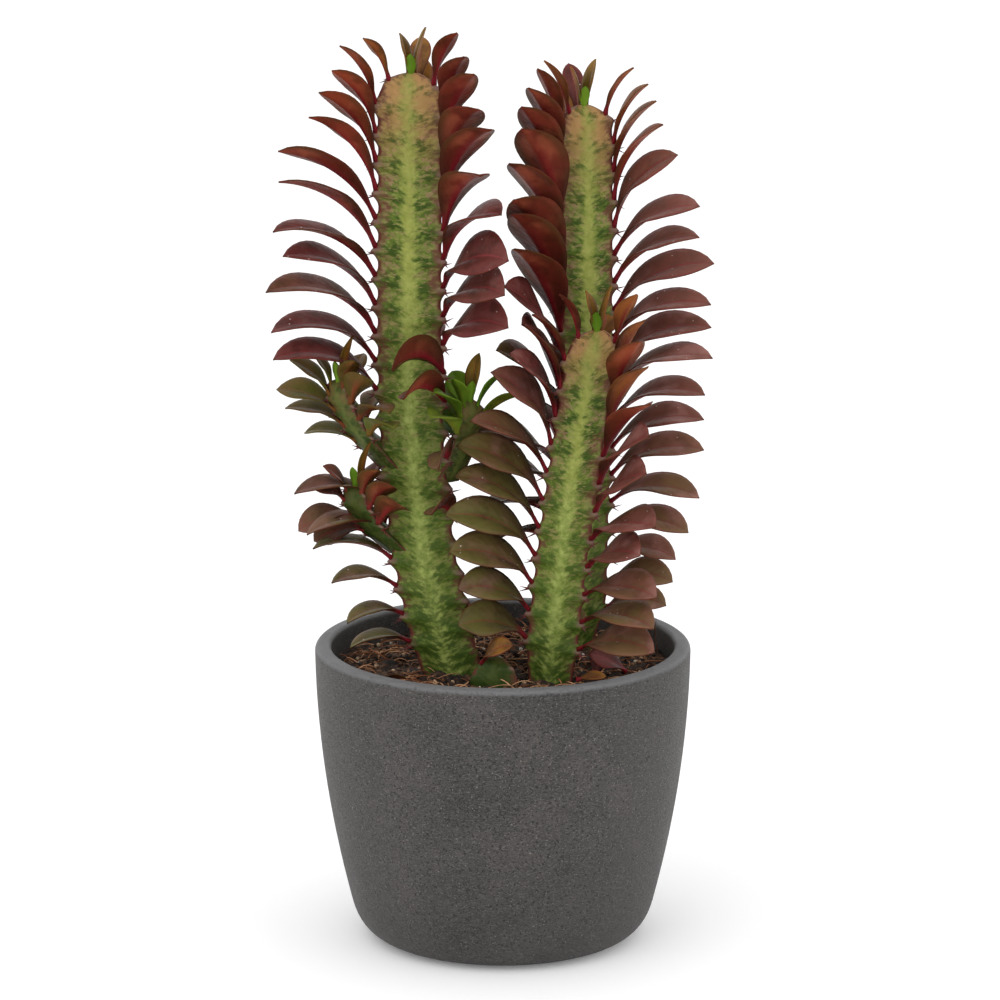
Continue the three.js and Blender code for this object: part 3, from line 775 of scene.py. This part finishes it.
pale_share = times(tree, span(tree, gap, 0.3, 0.5, 0.0, 0.8), span(tree, shifted, 0.3, 0.7),
                   span(tree, young, 0.0, 1.0, 0.25, 1.0))
tone = colours(tree, pale_share, tone, (0.30, 0.195, 0.11, 1))
streaked = clouds(tree, stretched(tree, place, 3.4), 200.0, 4.0, 0.6)
streak_share = times(tree, span(tree, streaked, 0.53, 0.62, 0.0, 0.5),
                     span(tree, shifted, 0.05, 0.4, 0.25, 1.0), span(tree, height, 0.1, 0.5, 0.25, 1.0))
tone = colours(tree, streak_share, tone, (0.34, 0.270, 0.105, 1))
tan_share = times(tree, span(tree, height, 0.8, 1.0), span(tree, patch, 0.8, -0.1, 0.15, 1.0),
                  span(tree, shifted, 0.1, 0.6, 0.35, 0.9))
tone = colours(tree, tan_share, tone, (0.40, 0.215, 0.085, 1))
rosy_share = times(tree, span(tree, height, 0.35, 0.75), span(tree, shifted, 0.66, 1.05, 0.0, 0.75))
tone = colours(tree, rosy_share, tone, (0.190, 0.085, 0.050, 1))
deep_share = times(tree, span(tree, height, 0.26, 0.02), span(tree, feather, -0.1, 0.08, 0.1, 0.8))
tone = colours(tree, deep_share, tone, (0.034, 0.064, 0.008, 1))
tone = colours(tree, times(tree, dark, 0.85), tone, (0.026, 0.048, 0.008, 1))
edge_share = span(tree, shifted, 0.85, 1.05, 0.0, 0.8)
tone = colours(tree, edge_share, tone, (0.120, 0.050, 0.028, 1))
pad_share = times(tree, span(tree, tooth, 0.35, 0.8), span(tree, rib, 0.78, 0.97),
                  span(tree, lean, 0.5, -0.2))
tone = colours(tree, pad_share, tone, (0.22, 0.125, 0.10, 1))
scallop = times(tree, span(tree, tooth, 0.16, 0.02), span(tree, rib, 0.9, 0.97))
tone = colours(tree, scallop, tone, (0.13, 0.036, 0.026, 1))
feed(tree, shader, {
    "Base Color": tone, "Roughness": span(tree, blotchy, 0.3, 0.7, 0.42, 0.58),
    "Specular IOR Level": 0.12, "Normal": bumps(tree, feather, 0.35, 0.0008),
})

# A leaf is dusky mauve brown above, with a pale bloom that is partly painted sheen, and a few dust
# specks, and wine red below, with lighter patches of painted highlight, a dark margin and a crimson
# midrib and stalk. Both faces get painted shade towards the leaf's base. Young leaves are orange
# olive, old ones brown green.
blade, tree, shader = finish("leaf_blade")
place = place_on(tree)
flat = put(tree, "ShaderNodeTexCoord").outputs["UV"]
laid = put(tree, "ShaderNodeSeparateXYZ", {"Vector": flat})
across = sums(tree, "ABSOLUTE", sums(tree, "SUBTRACT", times(tree, laid.outputs["X"], 2.0), 1.0))
along = laid.outputs["Y"]
upper = attribute(tree, "upper")
age, vary, green_share, pale = (attribute(tree, part) for part in LEAF_PARTS)
soft = clouds(tree, place, 55.0, 3.0, 0.5)
patchy = clouds(tree, place, 95.0, 3.0, 0.55)
grainy = clouds(tree, place, 420.0, 4.0, 0.6)
aged = sums(tree, "ADD", age, times(tree, sums(tree, "SUBTRACT", vary, 0.5), 0.3))
top = ramp(tree, aged, [(0.0, (0.24, 0.105, 0.020)), (1.0, (0.105, 0.085, 0.024)),
                        (0.05, (0.18, 0.048, 0.022)), (0.13, (0.130, 0.028, 0.025)),
                        (0.5, (0.138, 0.036, 0.031)), (0.75, (0.136, 0.068, 0.031))])
top = colours(tree, span(tree, patchy, 0.42, 0.68, 0.0, 0.6), top, (0.036, 0.012, 0.008, 1))
olive_share = times(tree, span(tree, aged, 0.4, 0.9, 0.0, 0.6), span(tree, soft, 0.42, 0.62))
top = colours(tree, olive_share, top, (0.110, 0.100, 0.024, 1))
# The pale bloom is partly the leaf's real waxy bloom and partly painted sheen that stands in for
# highlights.
bloom_and_sheen = times(tree, span(tree, soft, 0.5, 0.3), span(tree, aged, 0.05, 0.3, 0.1, 0.7),
              span(tree, pale, 0.0, 1.0, 0.42, 1.0))
top = colours(tree, times(tree, pale, 0.35), top, (0.270, 0.125, 0.085, 1))
top = colours(tree, bloom_and_sheen, top, (0.335, 0.158, 0.136, 1))
top_rib = times(tree, span(tree, across, 0.07, 0.02), span(tree, aged, 0.3, 0.8, 0.8, 0.4))
top = colours(tree, top_rib, top, (0.24, 0.040, 0.042, 1))
top_edge = times(tree, span(tree, across, 0.8, 1.0), span(tree, aged, 0.2, 0.6, 0.7, 0.3))
top = colours(tree, top_edge, top, (0.16, 0.020, 0.022, 1))
top = colours(tree, fleck_mask(tree, place, 300.0, 0.13, 0.2), top, (0.46, 0.36, 0.34, 1))
below = ramp(tree, aged, [(0.0, (0.28, 0.095, 0.022)), (1.0, (0.064, 0.034, 0.012)),
                          (0.05, (0.23, 0.045, 0.018)), (0.15, (0.156, 0.026, 0.015)),
                          (0.5, (0.116, 0.018, 0.010)), (0.78, (0.076, 0.021, 0.010))])
below = colours(tree, span(tree, patchy, 0.42, 0.68, 0.0, 0.55), below, (0.038, 0.012, 0.005, 1))
below = colours(tree, times(tree, pale, 0.4), below, (0.300, 0.070, 0.035, 1))
# Painted highlight: lighter orange-red patches on the undersides stand in for highlights.
underside_highlight = times(tree, span(tree, soft, 0.47, 0.66, 0.0, 0.7), span(tree, aged, 0.9, 0.3, 0.3, 1.0))
below = colours(tree, underside_highlight, below, (0.285, 0.070, 0.034, 1))
margin = times(tree, span(tree, across, 0.4, 0.95), span(tree, soft, 0.35, 0.6, 0.15, 0.85))
below = colours(tree, margin, below, (0.060, 0.026, 0.008, 1))
flush = times(tree, span(tree, along, 0.95, 0.15), span(tree, across, 0.36, 0.05))
below = colours(tree, flush, below, (0.25, 0.014, 0.024, 1))
tone = colours(tree, upper, below, top)
# Painted shade: the blade is darkened towards its base, where the leaves shade each other.
leaf_base_shade = times(tree, span(tree, along, 0.7, 0.12), span(tree, across, 0.05, 0.5, 0.2, 0.7))
tone = colours(tree, leaf_base_shade, tone, (0.030, 0.009, 0.007, 1))
tone = colours(tree, span(tree, along, 0.24, 0.07), tone, (0.17, 0.012, 0.018, 1))
fresh = ramp(tree, soft, [(0.3, (0.070, 0.155, 0.009)), (0.7, (0.17, 0.29, 0.022))])
tone = colours(tree, green_share, tone, fresh)
veins = sums(tree, "SINE", sums(tree, "ADD", times(tree, along, 60.0), times(tree, across, -16.0)))
relief = sums(tree, "ADD", times(tree, veins, 0.12), grainy)
feed(tree, shader, {
    "Base Color": tone, "Roughness": span(tree, grainy, 0.3, 0.7, 0.36, 0.5),
    "Specular IOR Level": span(tree, upper, 0.0, 1.0, 0.05, 0.14),
    "Normal": bumps(tree, relief, 0.4, 0.0005),
})

# The spines are hard and thin, dark red brown with a paler foot.
horn, tree, shader = finish("spine_horn")
along = attribute(tree, "along")
tone = ramp(tree, along, [(0.1, (0.20, 0.036, 0.030)), (0.6, (0.100, 0.008, 0.011))])
tone = colours(tree, clouds(tree, place_on(tree), 500.0), tone, (0.10, 0.012, 0.012, 1))
feed(tree, shader, {"Base Color": tone, "Roughness": 0.45})


def dress(piece, material, node):
    """Give a piece of a stem its finish and its place in the plant"""
    piece.data.materials.append(material)
    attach(piece, "root")
    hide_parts(node)


def grow(name, stem, node, sides=SKIN_SIDES):
    """A whole stem, with its skin, leaves and spines"""
    dress(grown_skin(f"{name}_skin", stem, sides), skin, node)
    dress(grown_leaves(f"{name}_leaves", leaves_of(stem) + sprouts_of(stem)), blade, node)
    dress(grown_spines(f"{name}_spines", stem), horn, node)


grow("tall", TALL, "stem_tall")


# The side shoots are young stems that grow out of the tall one, two on its left and one on its
# right, with short round leaves. They are one living piece with the tall stem.
SHOOT = {
    "lift": [(0, 55), (2, 24), (5, 5)],
    "arch": [(0, 35), (5, 60)],
    "length": [(0, 18), (2, 31), (5, 27)],
    "half_width": [(0, 5), (2, 8.6), (5, 7.6)],
    "swell": [(0, 1.25)],
    "fold": [(0, 30)],
    "twist": [(0, -20)],
}
HANGING = {
    **SHOOT, "lift": [(0, 55), (1, 20), (2, -12)], "length": [(0, 18), (2, 26)],
    "twist": [(0, -20), (2, -55)],
}
SHOOT_SIDES = 48
YOUNG = {"pitch": 7.8, "sprouts": 2}
SIDE_SHOOTS = {
    "upper_left": {
        **YOUNG, "seed": 41, "facing": -35, "rib_radius": 9.5, "valley": 2,
        "foot": 226, "tip": 275, "x": (-46, -62, -74, -77), "y": (-8, -12, -15, -16),
        "tip_length": 11, "lowest_tooth": 242, "dark": 0.8,
        "ribs": ({"leaves": SHOOT}, {"leaves": SHOOT}, {"leaves": SHOOT, "bare": (1, 3)}), "green": 0.22,
    },
    "lower_left": {
        **YOUNG, "seed": 53, "facing": -30, "rib_radius": 10, "valley": 2,
        "foot": 190, "tip": 225, "x": (-46, -60, -68, -69), "y": (-9, -14, -18, -20),
        "tip_length": 10, "lowest_tooth": 198, "dark": 1,
        "ribs": ({"leaves": HANGING}, {"leaves": SHOOT}, {"leaves": SHOOT, "bare": (1, 3)}), "green": 0.05,
    },
    "right": {
        **YOUNG, "seed": 67, "facing": 25, "rib_radius": 9, "valley": 1.8,
        "foot": 226, "tip": 266, "x": (-28, -20, -16, -16), "y": (-12, -16, -18, -18),
        "tip_length": 10, "lowest_tooth": 244, "dark": 0.8,
        "ribs": ({"leaves": SHOOT}, {"leaves": SHOOT, "bare": (2,)}, {"leaves": SHOOT}), "green": 0.7,
    },
}

for name, shoot in SIDE_SHOOTS.items():
    grow(f"{name}_shoot", shoot, "stem_tall", SHOOT_SIDES)


# The back stem stands upright at the right, behind the front one. Its left leaves stand steep
# and show their red undersides, and its right ones arch out over the pot.
BACK = {
    "seed": 23, "facing": 12, "rib_radius": 17.8, "valley": 3.6, "pitch": 13.4,
    "foot": 80, "tip": 399, "x": (35, 37, 40, 38), "y": (30, 28, 27, 26),
    "tip_length": 13, "base_share": 0.6, "base_length": 28, "lowest_tooth": 148, "sprouts": 3,
    "ribs": (
        {"leaves": {**UPRIGHT, "length": [(0, 26), (2, 40), (4, 50), (9, 55), (11, 48), (14, 49), (18, 42)],
                    "half_width": [(0, 6), (2, 10), (5, 13.5), (12, 13.5), (15, 11), (19, 9)],
                    "twist": [(2, 0), (4, 25), (7, 20), (9, -35), (13, -35), (15, 0)]},
         "turn": 4, "length": 1.1, "bare": (17, 18)},
        {"leaves": {**GROWN, "half_width": [(0, 4.8), (2, 7.4), (5, 9.8), (10, 10.4), (18, 9)],
                    "twist": [(0, 0), (3, 20), (5, 30)]}, "older": -0.12, "pale": 1},
        {"leaves": GROWN, "length": 0.85, "bare": (3, 5, 7, 9, 11, 13, 15, 16, 17, 18)},
    ),
}

grow("back", BACK, "stem_back")


# The front stem is the youngest and leans to the right. Its left leaves turn their broad upper
# faces to the light.
FRONT = {
    "seed": 37, "facing": -12, "rib_radius": 17.6, "valley": 3.6, "pitch": 13.2,
    "foot": 85, "tip": 299, "x": (22, 22, 33.4, 44.8), "y": (-31, -28, -23, -18),
    "tip_length": 12, "base_share": 0.88, "base_length": 20, "lowest_tooth": 144, "sprouts": 3,
    "ribs": (
        {"leaves": {**GROWN, "length": [(0, 22), (2, 38), (4, 49), (9, 49), (11, 34)],
                    "half_width": [(0, 4.5), (2, 8), (4, 11)], "swell": [(0, 1.3)],
                    "fold": [(0, 40), (3, 24)], "twist": [(0, 0), (3, -40)]}, "older": 0.25},
        {"leaves": {**UPRIGHT, "lift": [(0, 66), (3, 52), (6, 28), (11, 4)], "twist": [(3, 0), (6, 35)]},
         "turn": -8, "older": -0.25, "pale": 0.5},
        {"leaves": UPRIGHT, "bare": (1, 3, 5, 7, 9), "length": 0.5},
    ),
}

grow("front", FRONT, "stem_front")


# The stub is a short dark shoot that stopped growing, at the front of the soil, with one leaf.
STUB = {
    "seed": 5, "facing": -10, "rib_radius": 14, "valley": 0.8, "pitch": 9,
    "foot": 120, "tip": 146, "x": (-3, -3, -3, -3), "y": (-37, -37, -37, -37),
    "tip_length": 13, "lowest_tooth": 136, "dark": 1,
    "ribs": (
        {"leaves": {**SHOOT, "lift": [(0, 30)], "arch": [(0, 60)], "length": [(0, 22)],
                    "half_width": [(0, 6)], "twist": [(0, 45)]}, "turn": 130, "older": -0.25},
        {"leaves": SHOOT, "bare": (0,)},
        {"leaves": SHOOT, "bare": (0,)},
    ),
}

dress(grown_skin("stub_skin", STUB, SHOOT_SIDES), skin, "stem_stub")
dress(grown_leaves("stub_leaf", leaves_of(STUB)), blade, "stem_stub")


# A few small leaves have dropped and lie on the soil, orange, dull pink or brown. They are loose,
# so they ride with the whole plant and stand for no part of the model.
DROPPED_SHAPE = {"arch": 30, "swell": 1.2, "fold": 24, "bow": 0.1, "vary": 0.5, "green": 0.0, "pale": 0}
DROPPED_PARTS = ("root", "heading", "lift", "length", "half_width", "twist", "age")
DROPPED = (
    (Vector((35, -47, 137.5)), 80, 8, 14, 3.8, 30, 0.0),
    (Vector((44, -36, 137)), 150, 56, 15, 4.2, 20, 0.16),
    (Vector((58, -34, 138)), -75, 30, 22, 6.4, -60, 0.4),
    (Vector((-56, -44, 137)), 60, 10, 12, 3.2, -30, 0.9),
    (Vector((44, 64, 139)), 70, 24, 22, 4.6, 150, 0.05),
)

dropped = [{**DROPPED_SHAPE, **dict(zip(DROPPED_PARTS, leaf))} for leaf in DROPPED]
fallen = grown_leaves("dropped_leaves", dropped)
fallen.data.materials.append(blade)
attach(fallen, "root")


# Chips of bark, threads of coir and a few perlite grains lie loose on the soil, most of them along
# the front rim. Some orange threads stand up at the back right. Each kind is one piece of copies.
BARK_CHIPS = 1100
PERLITE_GRAINS = 60
COIR_THREADS = 620
STANDING_THREADS = 9
THREAD_SIDES = 3
THREAD_ROWS = 8
THREAD_MERGE = 0.001
LOOSE_SEED = 71
LOOSE_REACH = 80
FRONT_REACH = -35
BACK_KEPT = 0.2
STEM_CLEAR = 0.8
WALL_CLEAR = 4
CHIP_SIZES = ((1.7, 0.9), (1.1, 0.5), (0.9, 0.4))
CHIP_TILT = 0.6
GRAIN_RISE = 0.5
GRAIN_SIZE = (0.75, 0.4)
THREAD_CLEAR = 2
THREAD_LENGTH = (13, 6)
THREAD_RADIUS = (0.34, 0.1)
THREAD_BEND = 0.35
LYING_RISE = (0.05, 0.4)
STANDING_RISE = (1.1, 0.2)
STANDING_LEAN = 0.3
STANDING_X = (70, 6)
STANDING_Y = (27, 5)
STANDING_FOOT = 128

deselect()
bpy.ops.mesh.primitive_ico_sphere_add(subdivisions=1, radius=1)
chip_blank = bpy.context.object
thread_blank = flat_grid("thread_blank", THREAD_SIDES, THREAD_ROWS)
for vertex in thread_blank.data.vertices:
    turn = math.pi * vertex.co.x
    vertex.co = (math.cos(turn), (vertex.co.y + 1) / 2, math.sin(turn))
close_tube(THREAD_MERGE)
bpy.ops.mesh.select_all(action="SELECT")
bpy.ops.mesh.normals_make_consistent(inside=False)
end_edit()


def drawn(draw, middle, spread):
    """A size drawn evenly round its middle"""
    return middle + spread * next(draw)


def loose_place(draw):
    """A free place on top of the soil, more often near the front than elsewhere"""
    while True:
        x, y = LOOSE_REACH * next(draw), LOOSE_REACH * next(draw)
        if y > FRONT_REACH and next(draw) > BACK_KEPT:
            continue
        here = Vector((x, y))
        taken = any((axis_at(stem, SOIL_LEVEL).xy - here).length < STEM_CLEAR * stem["rib_radius"]
                    for stem in (TALL, BACK, FRONT, STUB))
        if math.hypot(x, y) < soil_edge - WALL_CLEAR and not taken:
            return Vector((x, y, soil_top(x, y) + crumbs(x, y)))


def scattered(name, blank, count, draw, shape):
    """Copies of a blank, each reshaped by a function, joined as one piece"""
    meshes = []
    for i in range(count):
        mesh = blank.data.copy()
        bend = shape(draw, i)
        for vertex in mesh.vertices:
            vertex.co = bend(vertex.co) * MM
        mark(mesh, "tint", [0.5 + 0.5 * next(draw)] * len(mesh.vertices))
        meshes.append(mesh)
    return joined(name, meshes)


def chip_shape(draw, i):
    """A flat chip of bark, turned any way and tilted a little"""
    place = loose_place(draw)
    size = Vector([drawn(draw, *side) for side in CHIP_SIZES])
    turn = Euler((CHIP_TILT * next(draw), CHIP_TILT * next(draw), math.pi * next(draw)))
    return lambda co: place + turn.to_matrix() @ (co * size)


def grain_shape(draw, i):
    """A round grain of perlite, half sunk in the soil"""
    place = loose_place(draw) + Vector((0, 0, GRAIN_RISE))
    size = drawn(draw, *GRAIN_SIZE)
    return lambda co: place + co * size


def thread_shape(draw, i):
    """A thread of coir: an arc that rises from the soil and comes down, or stands up at the back"""
    standing = i < STANDING_THREADS
    start = loose_place(draw)
    if standing:
        start = Vector((drawn(draw, *STANDING_X), drawn(draw, *STANDING_Y), STANDING_FOOT))
    length = drawn(draw, *THREAD_LENGTH)
    heading = outward(180 * next(draw))
    rise = drawn(draw, *STANDING_RISE) if standing else LYING_RISE[0] + LYING_RISE[1] * abs(next(draw))
    sideways = outward(180 * next(draw)) * (THREAD_BEND * length * next(draw))
    radius = drawn(draw, *THREAD_RADIUS)

    def bend(co):
        t = co.y
        along = heading * (t * (STANDING_LEAN if standing else 1.0) * length)
        lift = rise * length * (t if standing else 4 * t * (1 - t) * 0.5)
        centre = start + along + sideways * (4 * t * (1 - t)) + Vector((0, 0, lift))
        inward = min(1, (soil_edge - THREAD_CLEAR) / centre.xy.length)
        centre = Vector((centre.x * inward, centre.y * inward, centre.z))
        thin = radius * (1 - 0.5 * t)
        upward = Vector((0, 0, 1))
        across = heading.cross(upward)
        if standing:
            return centre + across * (co.x * thin) + heading * (co.z * thin)
        return centre + across * (co.x * thin) + upward * (co.z * thin)

    return bend


loose = seeded_draw(LOOSE_SEED)
chips = scattered("bark_chips", chip_blank, BARK_CHIPS, loose, chip_shape)
grains = scattered("perlite_grains", chip_blank, PERLITE_GRAINS, loose, grain_shape)
threads = scattered("coir_threads", thread_blank, COIR_THREADS, loose, thread_shape)

bark, tree, shader = finish("bark")
tone = ramp(tree, attribute(tree, "tint"), [(0.0, (0.006, 0.0035, 0.0025)), (1.0, (0.78, 0.52, 0.33)),
                                            (0.45, (0.034, 0.016, 0.009)), (0.78, (0.18, 0.085, 0.045))])
dusky = span(tree, clouds(tree, place_on(tree), 700.0), 0.4, 0.65, 0.0, 0.6)
tone = colours(tree, dusky, tone, (0.02, 0.012, 0.008, 1))
feed(tree, shader, {"Base Color": tone, "Roughness": 0.85, "Specular IOR Level": 0.2})

perlite, tree, shader = finish("perlite")
tone = ramp(tree, attribute(tree, "tint"), [(0.0, (0.42, 0.30, 0.17)), (0.6, (0.62, 0.58, 0.52))])
feed(tree, shader, {"Base Color": tone, "Roughness": 0.9})

coir, tree, shader = finish("coir")
tone = ramp(tree, attribute(tree, "tint"), [(0.0, (0.070, 0.026, 0.012)), (1.0, (0.85, 0.48, 0.26)),
                                            (0.5, (0.34, 0.125, 0.052))])
dusky = span(tree, clouds(tree, place_on(tree), 300.0), 0.4, 0.7, 0.0, 0.5)
tone = colours(tree, dusky, tone, (0.08, 0.03, 0.015, 1))
feed(tree, shader, {"Base Color": tone, "Roughness": 0.7, "Specular IOR Level": 0.2})

for piece, material in ((chips, bark), (grains, perlite), (threads, coir)):
    piece.data.materials.append(material)
    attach(piece, "root")
    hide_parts("soil")
for blank in (leaf_blank, spine_blank, chip_blank, thread_blank):
    bpy.data.objects.remove(blank, do_unlink=True)


# A plain pale floor and soft studio light: a bright even surround, a large lamp above at the
# left, as in the photograph, and a weaker one at the right.
deselect()
bpy.ops.mesh.primitive_plane_add(size=24)
floor = bpy.context.object
floor.name = "floor"
paper, tree, shader = finish("pale_floor")
feed(tree, shader, {
    "Base Color": (0.95, 0.95, 0.95, 1), "Roughness": 0.9,
    "Emission Color": (1, 1, 1, 1), "Emission Strength": 0.12,
})
floor.data.materials.append(paper)

world = bpy.data.worlds.new("studio")
world.use_nodes = True
background = world.node_tree.nodes["Background"]
feed(world.node_tree, background, {"Color": (1, 1, 1, 1), "Strength": 1.04})
bpy.context.scene.world = world


def lamp(name, place, aim, size, power):
    """A square soft lamp that points at a place"""
    light = bpy.data.lights.new(name, "AREA")
    light.size = size
    light.energy = power
    holder = bpy.data.objects.new(name, light)
    holder.location = place
    holder.rotation_euler = (Vector(aim) - Vector(place)).to_track_quat("-Z", "Y").to_euler()
    bpy.context.collection.objects.link(holder)


lamp("key_lamp", place=(-0.9, -1.3, 2.0), aim=(0, 0, 0.2), size=1.6, power=9)
lamp("fill_lamp", place=(1.5, -0.9, 1.3), aim=(0, 0, 0.2), size=1.6, power=4)

bpy.context.scene.view_settings.view_transform = "Standard"
